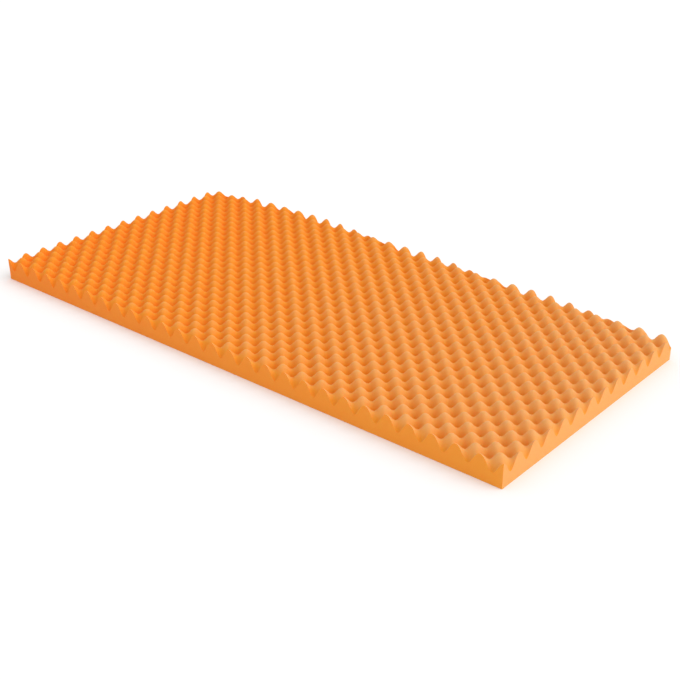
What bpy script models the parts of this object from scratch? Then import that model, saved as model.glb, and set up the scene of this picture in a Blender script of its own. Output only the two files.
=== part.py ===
"""A mattress topper of soft foam with a profiled upper face.

One slab, flat underneath and cut square at its sides. Its upper face is a chequered layout of round
peaks and hollows, as a profiling machine leaves it. X runs along the length, Y across the width and
Z up. The origin is at the middle of the underside. Metres throughout.
"""

import math

import bmesh
import bpy

# Driving dimensions.
LENGTH = 2.000
WIDTH_AT_RIGHT_END = 0.900  # the back side is cut out of square, so the width varies
WIDTH_AT_WIDEST = 1.020
WIDTH_AT_LEFT_END = 0.975
LEFT_END_TO_WIDEST = 0.350
BASE = 0.034  # solid foam under the hollows
KNOB = 0.041  # height of a peak above a hollow
PITCH = 0.07175  # from one peak to the next along a row, with a hollow between them
RIGHT_END_TO_HOLLOW = 0.0318  # from the right end in to the centre of a hollow near the front right corner
# That centre lies just outside the front side, so the side cuts its hollow open.
FRONT_SIDE_TO_HOLLOW = -0.0021
FULLNESS = 0.28  # 0 gives peaks and hollows of one shape, more gives fuller peaks and narrower hollows

# The look of the bare foam.
FOAM_COLOUR = (0.86, 0.29, 0.045, 1.0)
FOAM_ROUGHNESS = 0.95

# Worked out from them.
HALF_PITCH = PITCH / 2
RIGHT = LENGTH / 2
LEFT = -LENGTH / 2
FRONT = -WIDTH_AT_WIDEST / 2
HOLLOW_X = RIGHT - RIGHT_END_TO_HOLLOW
HOLLOW_Y = FRONT + FRONT_SIDE_TO_HOLLOW

# A cut that runs this close to a peak or a hollow goes through it.
SNAP = 1e-6


def height(x, y):
    """Height of the profiled face, lowest at a hollow and highest at a peak."""
    along = math.cos(math.pi * (x - HOLLOW_X) / HALF_PITCH)
    across = math.cos(math.pi * (y - HOLLOW_Y) / HALF_PITCH)
    rise = (1 - along * across) / 2  # 0 in a hollow, 1 on a peak
    return BASE + KNOB * (rise + FULLNESS * rise * (1 - rise))


def outline():
    """Corners of the slab seen from above, anticlockwise from the front left."""
    return [
        (LEFT, FRONT),
        (RIGHT, FRONT),
        (RIGHT, FRONT + WIDTH_AT_RIGHT_END),
        (LEFT + LEFT_END_TO_WIDEST, FRONT + WIDTH_AT_WIDEST),
        (LEFT, FRONT + WIDTH_AT_LEFT_END),
    ]


def profiled_face():
    """The uncut face: a vertex on each peak, hollow and saddle, one cell wider than the slab all round."""
    first_column = math.floor((LEFT - HOLLOW_X) / HALF_PITCH) - 1
    last_column = math.ceil((RIGHT - HOLLOW_X) / HALF_PITCH) + 1
    first_row = math.floor((FRONT - HOLLOW_Y) / HALF_PITCH) - 1
    last_row = math.ceil((FRONT + WIDTH_AT_WIDEST - HOLLOW_Y) / HALF_PITCH) + 1

    mesh = bmesh.new()

    def add_vertex(column, row):
        x = HOLLOW_X + column * HALF_PITCH
        y = HOLLOW_Y + row * HALF_PITCH
        return mesh.verts.new((x, y, height(x, y)))

    columns = range(first_column, last_column + 1)
    rows = range(first_row, last_row + 1)
    node = {(i, j): add_vertex(i, j) for i in columns for j in rows}
    for i in columns[:-1]:
        for j in rows[:-1]:
            saddle = add_vertex(i + 0.5, j + 0.5)
            ring = [node[i, j], node[i + 1, j], node[i + 1, j + 1], node[i, j + 1]]
            for here, following in zip(ring, ring[1:] + ring[:1]):
                mesh.faces.new((here, following, saddle))
    return mesh


def cut_sides(mesh):
    """Cuts the sheet straight down along each side of the outline and drops the offcuts."""
    corners = outline()
    for start, end in zip(corners, corners[1:] + corners[:1]):
        outward = (end[1] - start[1], start[0] - end[0], 0)
        bmesh.ops.bisect_plane(
            mesh,
            geom=mesh.verts[:] + mesh.edges[:] + mesh.faces[:],
            dist=SNAP,
            plane_co=(start[0], start[1], 0),
            plane_no=outward,
            clear_outer=True,
        )


def close_below(mesh):
    """Drops a wall from the cut rim to the floor and closes the flat underside."""
    rim = [edge for edge in mesh.edges if edge.is_boundary]
    walls = bmesh.ops.extrude_edge_only(mesh, edges=rim)["geom"]
    for vertex in walls:
        if isinstance(vertex, bmesh.types.BMVert):
            vertex.co.z = 0
    bottom = [edge for edge in walls if isinstance(edge, bmesh.types.BMEdge) and edge.is_boundary]
    bmesh.ops.contextual_create(mesh, geom=bottom)
    bmesh.ops.triangulate(mesh, faces=mesh.faces[:])
    bmesh.ops.recalc_face_normals(mesh, faces=mesh.faces[:])


def foam():
    material = bpy.data.materials.new("foam")
    material.use_nodes = True
    surface = material.node_tree.nodes["Principled BSDF"]
    surface.inputs["Base Color"].default_value = FOAM_COLOUR
    surface.inputs["Roughness"].default_value = FOAM_ROUGHNESS
    surface.inputs["Metallic"].default_value = 0
    return material


def foam_topper():
    sheet = profiled_face()
    cut_sides(sheet)
    close_below(sheet)
    data = bpy.data.meshes.new("foam_topper")
    sheet.to_mesh(data)
    sheet.free()
    data.materials.append(foam())
    topper = bpy.data.objects.new("foam_topper", data)
    bpy.context.scene.collection.objects.link(topper)


for leftover in list(bpy.data.objects):
    bpy.data.objects.remove(leftover)
foam_topper()
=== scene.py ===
"""Fine surface, finish and stage for a mattress topper of profiled foam, laid out as an add-on.

The slab is remade as one closed mesh fine enough to show its round peaks and hollows, over the
coarser solid that carries its size. Metres throughout, with X along the length and Z up.
"""

import math

import bpy
import numpy as np
from bpy.props import FloatProperty, FloatVectorProperty, IntProperty, PointerProperty
from mathutils import Euler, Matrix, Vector


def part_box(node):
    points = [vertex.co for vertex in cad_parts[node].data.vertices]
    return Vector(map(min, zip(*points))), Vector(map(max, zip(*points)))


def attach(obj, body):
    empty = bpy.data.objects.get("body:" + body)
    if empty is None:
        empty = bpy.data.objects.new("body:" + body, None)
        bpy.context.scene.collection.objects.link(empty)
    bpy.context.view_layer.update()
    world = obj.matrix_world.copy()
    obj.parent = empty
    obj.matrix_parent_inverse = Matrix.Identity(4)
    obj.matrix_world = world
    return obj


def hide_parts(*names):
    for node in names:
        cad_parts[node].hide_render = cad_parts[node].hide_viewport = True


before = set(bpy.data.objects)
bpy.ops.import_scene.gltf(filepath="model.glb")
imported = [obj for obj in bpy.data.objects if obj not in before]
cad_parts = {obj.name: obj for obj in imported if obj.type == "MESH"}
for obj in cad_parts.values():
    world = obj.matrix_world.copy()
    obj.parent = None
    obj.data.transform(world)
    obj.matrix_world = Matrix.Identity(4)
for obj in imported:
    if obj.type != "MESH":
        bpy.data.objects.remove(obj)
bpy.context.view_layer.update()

bl_info = {
    "name": "Profiled foam topper",
    "version": (1, 0, 0),
    "blender": (4, 5, 0),
    "location": "View3D > Sidebar > Topper",
    "description": "Makes a mattress topper of profiled foam, its finish and a plain stage",
    "category": "Object",
}

SLAB_NODE = "foam_topper"
SLAB_LOW, SLAB_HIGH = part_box(SLAB_NODE)

# Material slots of the slab.
FACE, CUT, END = range(3)

# Two points of the solid closer than this count as one.
TOUCH = 1e-4

# Waves in the height of the peaks: radians for each metre of X and of Y, and where they start.
HEIGHT_WAVES = ((5.3, 2.1, 0.7), (-3.7, 8.9, 2.3), (17.0, -13.0, 4.1))

# How fast the blade wandered: radians for each metre of X, Y and Z.
BLADE_WAVE = (31, 27, 90)

# Texture of the foam. The scales are features to a metre.
PATCH_SCALE = 9.0
PATCH_DETAIL = 4.0
SPECK_SCALE = 160.0
SPECK_DETAIL = 2.0
GRIT_DETAIL = 3.0
GRIT_IN_RELIEF = 0.5
CELL_BUMP = 0.6

# How the textures add up to a change of colour, which is none at the usual sum.
SPECKS_IN_COLOUR = 0.6
# The cells paint shade in small: their pits take a deeper colour than their walls.
CELL_PAINTED_SHADE = 0.2
USUAL_SUM = 0.9

# Places on the run from painted shade to painted light: at the hollows, at the peaks, on the cut sides.
HOLLOW_LEVEL = 0.2
PEAK_LEVEL = 0.8
CUT_LEVEL = 0.5

# Darkest and palest shade of the cut ends: painted shade at the left end, painted light at the right.
END_PAINTED_SHADE_AND_LIGHT = (0.88, 1.12)

# How the foam takes light. Red goes deepest into it.
ROUGHNESS_RANGE = 0.1
FOAM_SPECULAR = 0.2
FUZZ_ROUGHNESS = 0.6
GLOW = 0.3
GLOW_COLOUR = (1.0, 0.4, 0.15)
GLOW_DEPTH = 0.006

FLOOR_ROUGHNESS = 0.9
FLOOR_GAP = 1e-4


class TopperShape(bpy.types.PropertyGroup):
    """Sizes of the profiled face. The outline comes from the solid."""

    pitch: FloatProperty(
        name="Pitch",
        description="From one peak to the next along a row, with a hollow between them",
        default=0.07175,
        unit="LENGTH",
    )
    base: FloatProperty(
        name="Base",
        description="Solid foam under the hollows",
        default=0.034,
        unit="LENGTH",
    )
    right_end_to_hollow: FloatProperty(
        name="Right end to hollow",
        description="From the right end in to the centre of a hollow near the front right corner",
        default=0.0318,
        unit="LENGTH",
    )
    front_side_to_hollow: FloatProperty(
        name="Front side to hollow",
        description="From the front side to that centre, which lies just outside the slab",
        default=-0.0021,
        unit="LENGTH",
    )
    fullness: FloatProperty(
        name="Fullness",
        description="0 gives peaks and hollows of one shape, more gives fuller peaks",
        default=0.28,
        subtype="FACTOR",
    )
    unevenness: FloatProperty(
        name="Unevenness",
        description="How far the height of the peaks wanders over the slab",
        default=0.0012,
        unit="LENGTH",
    )
    cut_waviness: FloatProperty(
        name="Cut waviness",
        description="How far the blade wandered on the sides",
        default=0.0006,
        unit="LENGTH",
    )
    columns: IntProperty(
        name="Columns",
        description="Mesh faces along the length",
        default=390,
    )
    rows: IntProperty(
        name="Rows",
        description="Mesh faces across the width",
        default=198,
    )
    side_rows: IntProperty(
        name="Side rows",
        description="Mesh faces up the cut sides",
        default=6,
    )


class TopperFinish(bpy.types.PropertyGroup):
    """Colours and texture of the bare foam. Hollows carry painted shade, peaks and ends painted light."""

    # Painted shade: the deep colour at the bottom of the hollows stands in for shade and bounced light.
    hollow_painted_shade_colour: FloatVectorProperty(
        name="Hollow colour",
        description="Deep colour at the bottom of the hollows",
        default=(0.85, 0.190, 0.004),
        subtype="COLOR",
    )
    slope_colour: FloatVectorProperty(
        name="Slope colour",
        description="Colour half way up a peak",
        default=(0.81, 0.275, 0.020),
        subtype="COLOR",
    )
    # Painted light: the paler colour on the peaks stands in for the light and sheen that fall on them.
    peak_painted_light_colour: FloatVectorProperty(
        name="Peak colour",
        description="Paler colour on top of the peaks",
        default=(0.78, 0.368, 0.120),
        subtype="COLOR",
    )
    # Painted shade to painted light: the cut sides go deeper to the left, paler to the right.
    cut_painted_shade_colour: FloatVectorProperty(
        name="Cut colour",
        description="Deeper colour of the long cut sides and the underside",
        default=(0.87, 0.200, 0.010),
        subtype="COLOR",
    )
    cut_painted_light_colour: FloatVectorProperty(
        name="Pale cut colour",
        description="Paler colour that the cut sides turn to",
        default=(0.87, 0.340, 0.036),
        subtype="COLOR",
    )
    # Painted light: both cut ends take this paler colour, which stands in for the lamp on the right end.
    end_painted_light_colour: FloatVectorProperty(
        name="End colour",
        description="Paler colour of the two cut ends",
        default=(0.81, 0.320, 0.085),
        subtype="COLOR",
    )
    # Painted light: the foam turns paler towards the right end, where the lamp falls.
    fade: FloatProperty(
        name="Fade",
        description="How much paler the foam is at the right end than at the middle",
        default=0.28,
        subtype="FACTOR",
    )
    mottle: FloatProperty(
        name="Mottle",
        description="How much the colour varies from place to place",
        default=0.16,
        subtype="FACTOR",
    )
    cell_size: FloatProperty(
        name="Cell size",
        description="Width of one open cell of the foam",
        default=0.0013,
        unit="LENGTH",
    )
    cell_depth: FloatProperty(
        name="Cell depth",
        description="How deep the open cells look",
        default=0.0004,
        unit="LENGTH",
    )
    roughness: FloatProperty(
        name="Roughness",
        description="Roughness of the foam",
        default=0.95,
        subtype="FACTOR",
    )
    fuzz: FloatProperty(
        name="Fuzz",
        description="Pale sheen from the fine cell walls",
        default=0.05,
        subtype="FACTOR",
    )


class TopperStage(bpy.types.PropertyGroup):
    """Camera, lights and floor."""

    camera_right: FloatProperty(
        name="Camera to the right",
        description="How far the camera stands beyond the right end",
        default=1.163,
        unit="LENGTH",
    )
    camera_forward: FloatProperty(
        name="Camera in front",
        description="How far the camera stands in front of the front side",
        default=1.965,
        unit="LENGTH",
    )
    camera_height: FloatProperty(
        name="Camera height",
        description="Height of the camera above the floor",
        default=1.502,
        unit="LENGTH",
    )
    azimuth: FloatProperty(
        name="Azimuth",
        description="Turn of the camera from looking straight at the front side",
        default=math.radians(40.43),
        subtype="ANGLE",
    )
    elevation: FloatProperty(
        name="Elevation",
        description="How steeply the camera looks down",
        default=math.radians(26.10),
        subtype="ANGLE",
    )
    lens: FloatProperty(
        name="Lens",
        description="Focal length in millimetres",
        default=59.13,
        unit="CAMERA",
    )
    sky: FloatProperty(
        name="Sky",
        description="Strength of the even light from all round",
        default=0.87,
    )
    lamp: FloatProperty(
        name="Lamp",
        description="Strength of the soft lamp",
        default=1.35,
    )
    lamp_azimuth: FloatProperty(
        name="Lamp azimuth",
        description="Where the lamp stands, turned from the right end towards the back",
        default=math.radians(20),
        subtype="ANGLE",
    )
    lamp_elevation: FloatProperty(
        name="Lamp elevation",
        description="Height of the lamp above the floor, as an angle",
        default=math.radians(38),
        subtype="ANGLE",
    )
    lamp_spread: FloatProperty(
        name="Lamp spread",
        description="Width of the lamp as an angle, wider for softer shadows",
        default=math.radians(60),
        subtype="ANGLE",
    )
    floor_size: FloatProperty(
        name="Floor size",
        description="Length of each side of the floor",
        default=60.0,
        unit="LENGTH",
    )
    floor_colour: FloatVectorProperty(
        name="Floor colour",
        description="Colour of the floor",
        default=(0.93, 0.93, 0.93),
        subtype="COLOR",
    )


# The slab


def back_side(x):
    """Y of the back side at each x, from the three corners that the solid has along it."""
    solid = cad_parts[SLAB_NODE].data.vertices
    points = np.array([vertex.co for vertex in solid])
    at_left = points[points[:, 0] < SLAB_LOW.x + TOUCH]
    at_right = points[points[:, 0] > SLAB_HIGH.x - TOUCH]
    widest = points[points[:, 1].argmax()]
    corners_x = [SLAB_LOW.x, widest[0], SLAB_HIGH.x]
    corners_y = [at_left[:, 1].max(), widest[1], at_right[:, 1].max()]
    return np.interp(x, corners_x, corners_y)


def wander(x, y):
    """Slow waves from -1 to 1 that never line up with the peaks."""
    waves = [np.sin(along * x + across * y + start) for along, across, start in HEIGHT_WAVES]
    return sum(waves) / len(waves)


def face_height(x, y, shape):
    """Height of the profiled face, lowest at a hollow and highest at a peak."""
    half_pitch = shape.pitch / 2
    hollow_x = SLAB_HIGH.x - shape.right_end_to_hollow
    hollow_y = SLAB_LOW.y + shape.front_side_to_hollow
    along = np.cos(math.pi * (x - hollow_x) / half_pitch)
    across = np.cos(math.pi * (y - hollow_y) / half_pitch)
    rise = (1 - along * across) / 2
    rise = rise + shape.fullness * rise * (1 - rise)
    knob = SLAB_HIGH.z - shape.base - shape.unevenness * (1 - wander(x, y))
    return shape.base + knob * rise


def rim_order(columns, rows):
    """Grid places round the rim, anticlockwise from the front left corner."""
    front = [(i, 0) for i in range(columns)]
    right = [(columns, j) for j in range(rows)]
    back = [(i, rows) for i in range(columns, 0, -1)]
    left = [(0, j) for j in range(rows, 0, -1)]
    return front + right + back + left


def slab_mesh(shape):
    """One closed mesh: the profiled face, the cut sides in rows and the flat underside."""
    columns, rows, side_rows = shape.columns, shape.rows, shape.side_rows
    x = np.repeat(np.linspace(SLAB_LOW.x, SLAB_HIGH.x, columns + 1)[:, None], rows + 1, axis=1)
    share = np.linspace(0, 1, rows + 1)[None, :]
    y = SLAB_LOW.y + share * (back_side(x) - SLAB_LOW.y)
    z = face_height(x, y, shape)
    points = np.stack([x, y, z], axis=-1).reshape(-1, 3).tolist()

    def top(i, j):
        return i * (rows + 1) + j

    faces = [
        (top(i, j), top(i + 1, j), top(i + 1, j + 1), top(i, j + 1))
        for i in range(columns)
        for j in range(rows)
    ]
    face_count = len(faces)

    rim = rim_order(columns, rows)
    rings = [[top(i, j) for i, j in rim]]
    wave_x, wave_y, wave_z = BLADE_WAVE
    for row in range(1, side_rows + 1):
        left_up = 1 - row / side_rows
        ring = []
        for i, j in rim:
            px, py, pz = points[top(i, j)]
            height = pz * left_up
            # The blade wanders between the rim and the underside, and only inwards.
            bow = shape.cut_waviness * math.sin(math.pi * left_up)
            inward = bow * (1 + math.sin(wave_x * px + wave_y * py + wave_z * height)) / 2
            px += inward * ((i == 0) - (i == columns))
            py += inward * ((j == 0) - (j == rows))
            ring.append(len(points))
            points.append((px, py, height))
        rings.append(ring)
    for upper, lower in zip(rings, rings[1:]):
        for k in range(len(rim)):
            after = (k + 1) % len(rim)
            faces.append((upper[k], lower[k], lower[after], upper[after]))

    floor = dict(zip(rim, rings[-1]))
    for i in range(columns):
        left_edge = [floor[i, j] for j in (range(rows + 1) if i == 0 else (0, rows))]
        last = i + 1 == columns
        right_edge = [floor[i + 1, j] for j in (range(rows, -1, -1) if last else (rows, 0))]
        faces.append((*left_edge, *right_edge))

    mesh = bpy.data.meshes.new("foam_slab")
    mesh.from_pydata(points, [], faces)
    mesh.polygons.foreach_set("material_index", [FACE] * face_count + [CUT] * (len(faces) - face_count))
    for row in range(side_rows):
        start = face_count + row * len(rim)
        for k, (i, j) in enumerate(rim):
            if (i, rim[(k + 1) % len(rim)][0]) in ((0, 0), (columns, columns)):
                mesh.polygons[start + k].material_index = END
    mesh.shade_smooth()
    mark_sharp(mesh, rings, rim.index((columns, 0)), rim.index((columns, rows)), rim.index((0, rows)))
    return mesh


def mark_sharp(mesh, rings, *corners):
    """Keeps the rim, the lower edge and the upright corners crisp under smooth shading."""
    sharp = set()
    for ring in (rings[0], rings[-1]):
        sharp.update(frozenset(pair) for pair in zip(ring, ring[1:] + ring[:1]))
    for upper, lower in zip(rings, rings[1:]):
        sharp.update(frozenset((upper[k], lower[k])) for k in (0, *corners))
    for edge in mesh.edges:
        edge.use_edge_sharp = frozenset(edge.vertices) in sharp


# The finish


def fill_socket(tree, socket, value):
    """Links an input to another node's output, or sets it to a number or colour."""
    if isinstance(value, bpy.types.NodeSocket):
        tree.links.new(value, socket)
    else:
        socket.default_value = value


def add_node(tree, kind, **sockets):
    """A node with its inputs filled by name, where an underscore stands for a space."""
    node = tree.nodes.new(kind)
    for name, value in sockets.items():
        fill_socket(tree, node.inputs[name.replace("_", " ")], value)
    return node


def maths(tree, operation, *values):
    """The result of one sum on numbers or other nodes' outputs."""
    node = tree.nodes.new("ShaderNodeMath")
    node.operation = operation
    for socket, value in zip(node.inputs, values):
        fill_socket(tree, socket, value)
    return node.outputs["Value"]


def colour_ramp(tree, factor, stops):
    """Colour along a run of stops. A new stop starts half way and is then put in its place."""
    node = add_node(tree, "ShaderNodeValToRGB", Fac=factor)
    ramp = node.color_ramp
    while len(ramp.elements) < len(stops):
        ramp.elements.new(0.5)
    for element, (position, colour) in zip(ramp.elements, stops):
        element.position = position
        element.color = (*colour, 1)
    return node.outputs["Color"]


def open_cells(tree, place, finish):
    """Bump of the open cells, with fine grit between them."""
    cells = add_node(tree, "ShaderNodeTexVoronoi", Vector=place, Scale=1 / finish.cell_size)
    grit = add_node(tree, "ShaderNodeTexNoise", Vector=place, Scale=2 / finish.cell_size, Detail=3.0)
    relief = maths(tree, "MULTIPLY_ADD", grit.outputs["Fac"], GRIT_IN_RELIEF, cells.outputs["Distance"])
    bump = add_node(tree, "ShaderNodeBump", Height=relief, Strength=CELL_BUMP, Distance=finish.cell_depth)
    return cells.outputs["Distance"], bump.outputs["Normal"]


def foam_material(name, finish, stops, low=None, high=None):
    """Matt foam whose colour follows its height from low to high, or stays level without them. The colour
    by height is painted shade in the hollows and painted light on the peaks.
    """
    material = bpy.data.materials.new(name)
    material.use_nodes = True
    tree = material.node_tree
    surface = tree.nodes["Principled BSDF"]
    place = tree.nodes.new("ShaderNodeTexCoord").outputs["Object"]

    patches = add_node(tree, "ShaderNodeTexNoise", Vector=place, Scale=PATCH_SCALE, Detail=PATCH_DETAIL)
    specks = add_node(tree, "ShaderNodeTexNoise", Vector=place, Scale=SPECK_SCALE, Detail=SPECK_DETAIL)
    patch = patches.outputs["Fac"]
    cell, normal = open_cells(tree, place, finish)
    variation = maths(tree, "MULTIPLY_ADD", specks.outputs["Fac"], SPECKS_IN_COLOUR, patch)
    # Painted shade: the pits of the open cells move down the run, their walls up.
    variation = maths(tree, "MULTIPLY_ADD", cell, CELL_PAINTED_SHADE, variation)
    variation = maths(tree, "SUBTRACT", variation, USUAL_SUM)

    spot = add_node(tree, "ShaderNodeSeparateXYZ", Vector=place).outputs
    level = CUT_LEVEL
    # Painted shade and light: low places move down the run to the deep colour, high places up to the pale
    # one.
    if low is not None:
        painted_shade_by_height = add_node(tree, "ShaderNodeMapRange", Value=spot["Z"], From_Min=low, From_Max=high)
        painted_shade_by_height.inputs["To Min"].default_value = HOLLOW_LEVEL
        painted_shade_by_height.inputs["To Max"].default_value = PEAK_LEVEL
        level = painted_shade_by_height.outputs["Result"]
    # Painted light: towards the right end the colour moves up the run to the paler colours.
    level = maths(tree, "MULTIPLY_ADD", spot["X"], finish.fade / SLAB_HIGH.x, level)
    level = maths(tree, "MULTIPLY_ADD", variation, finish.mottle, level)

    rough = add_node(tree, "ShaderNodeMapRange", Value=patch)
    rough.inputs["To Min"].default_value = finish.roughness - ROUGHNESS_RANGE
    rough.inputs["To Max"].default_value = finish.roughness
    inputs = {
        "Base Color": colour_ramp(tree, level, stops),
        "Normal": normal,
        "Roughness": rough.outputs["Result"],
        "Specular IOR Level": FOAM_SPECULAR,
        "Sheen Weight": finish.fuzz,
        "Sheen Roughness": FUZZ_ROUGHNESS,
        "Subsurface Weight": GLOW,
        "Subsurface Radius": GLOW_COLOUR,
        "Subsurface Scale": GLOW_DEPTH,
    }
    for name, value in inputs.items():
        fill_socket(tree, surface.inputs[name], value)
    return material


def shaded(colour, share):
    """A darker or paler shade of a colour."""
    return tuple(channel * share for channel in colour)


class TOPPER_OT_foam_slab(bpy.types.Operator):
    """Makes the foam slab with its profiled face and its finish"""

    bl_idname = "topper.foam_slab"
    bl_label = "Foam slab"

    def execute(self, context):
        shape = context.scene.topper_shape
        finish = context.scene.topper_finish
        mesh = slab_mesh(shape)
        # Each run of colours goes from painted shade to painted light.
        profiled = [(0, finish.hollow_painted_shade_colour), (0.5, finish.slope_colour), (1, finish.peak_painted_light_colour)]
        cut = [(0, finish.cut_painted_shade_colour), (1, finish.cut_painted_light_colour)]
        mesh.materials.append(foam_material("foam_profiled", finish, profiled, shape.base, SLAB_HIGH.z))
        mesh.materials.append(foam_material("foam_cut", finish, cut))
        # Painted light on the ends: a paler colour, darker towards the left end and paler towards the
        # right.
        end = [(at, shaded(finish.end_painted_light_colour, share)) for at, share in enumerate(END_PAINTED_SHADE_AND_LIGHT)]
        mesh.materials.append(foam_material("foam_end", finish, end))
        slab = bpy.data.objects.new("foam_slab", mesh)
        context.scene.collection.objects.link(slab)
        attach(slab, "root")
        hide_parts(SLAB_NODE)
        return {"FINISHED"}


# The stage


def add_floor(scene, stage):
    """A plain pale floor, a hair under the slab."""
    half = stage.floor_size / 2
    corners = [(-half, -half), (half, -half), (half, half), (-half, half)]
    mesh = bpy.data.meshes.new("floor")
    mesh.from_pydata([(x, y, SLAB_LOW.z - FLOOR_GAP) for x, y in corners], [], [(0, 1, 2, 3)])
    material = bpy.data.materials.new("floor")
    material.use_nodes = True
    surface = material.node_tree.nodes["Principled BSDF"]
    surface.inputs["Base Color"].default_value = (*stage.floor_colour, 1)
    surface.inputs["Roughness"].default_value = FLOOR_ROUGHNESS
    surface.inputs["Specular IOR Level"].default_value = 0
    mesh.materials.append(material)
    floor = bpy.data.objects.new("floor", mesh)
    scene.collection.objects.link(floor)


def add_lights(scene, stage):
    """Even white light from all round and one soft lamp."""
    world = bpy.data.worlds.new("studio")
    world.use_nodes = True
    sky = world.node_tree.nodes["Background"]
    sky.inputs["Color"].default_value = (1, 1, 1, 1)
    sky.inputs["Strength"].default_value = stage.sky
    scene.world = world

    lamp = bpy.data.lights.new("lamp", "SUN")
    lamp.energy = stage.lamp
    lamp.angle = stage.lamp_spread
    holder = bpy.data.objects.new("lamp", lamp)
    level = math.cos(stage.lamp_elevation)
    towards = Vector((
        math.cos(stage.lamp_azimuth) * level,
        math.sin(stage.lamp_azimuth) * level,
        math.sin(stage.lamp_elevation),
    ))
    holder.rotation_euler = towards.to_track_quat("Z", "Y").to_euler()
    scene.collection.objects.link(holder)


def add_camera(scene, stage):
    """The camera, placed from the slab's front right corner."""
    lens = bpy.data.cameras.new("camera")
    lens.lens = stage.lens
    camera = bpy.data.objects.new("camera", lens)
    camera.location = (
        SLAB_HIGH.x + stage.camera_right,
        SLAB_LOW.y - stage.camera_forward,
        SLAB_LOW.z + stage.camera_height,
    )
    camera.rotation_euler = Euler((math.pi / 2 - stage.elevation, 0, stage.azimuth))
    scene.collection.objects.link(camera)
    scene.camera = camera


class TOPPER_OT_stage(bpy.types.Operator):
    """Sets up the floor, the soft light and the camera"""

    bl_idname = "topper.stage"
    bl_label = "Stage"

    def execute(self, context):
        scene = context.scene
        add_floor(scene, scene.topper_stage)
        add_lights(scene, scene.topper_stage)
        add_camera(scene, scene.topper_stage)
        scene.view_settings.view_transform = "Standard"
        return {"FINISHED"}


class TOPPER_PT_panel(bpy.types.Panel):
    """Lists the steps that make the topper"""

    bl_idname = "TOPPER_PT_panel"
    bl_label = "Profiled foam topper"
    bl_space_type = "VIEW_3D"
    bl_region_type = "UI"
    bl_category = "Topper"

    def draw(self, context):
        for operator in (TOPPER_OT_foam_slab, TOPPER_OT_stage):
            self.layout.operator(operator.bl_idname)


SETTINGS = {
    "topper_shape": TopperShape,
    "topper_finish": TopperFinish,
    "topper_stage": TopperStage,
}
CLASSES = (*SETTINGS.values(), TOPPER_OT_foam_slab, TOPPER_OT_stage, TOPPER_PT_panel)


def register():
    """Adds the classes and their settings."""
    for item in CLASSES:
        bpy.utils.register_class(item)
    for name, group in SETTINGS.items():
        setattr(bpy.types.Scene, name, PointerProperty(type=group))


def unregister():
    """Takes away what register added."""
    for name in SETTINGS:
        delattr(bpy.types.Scene, name)
    for item in reversed(CLASSES):
        bpy.utils.unregister_class(item)


def main():
    """Makes the slab and the stage."""
    for leftover in [o for o in bpy.data.objects if o.type in {"LIGHT", "CAMERA"}]:
        bpy.data.objects.remove(leftover)
    register()
    bpy.ops.topper.foam_slab()
    bpy.ops.topper.stage()


if __name__ == "__main__":
    main()
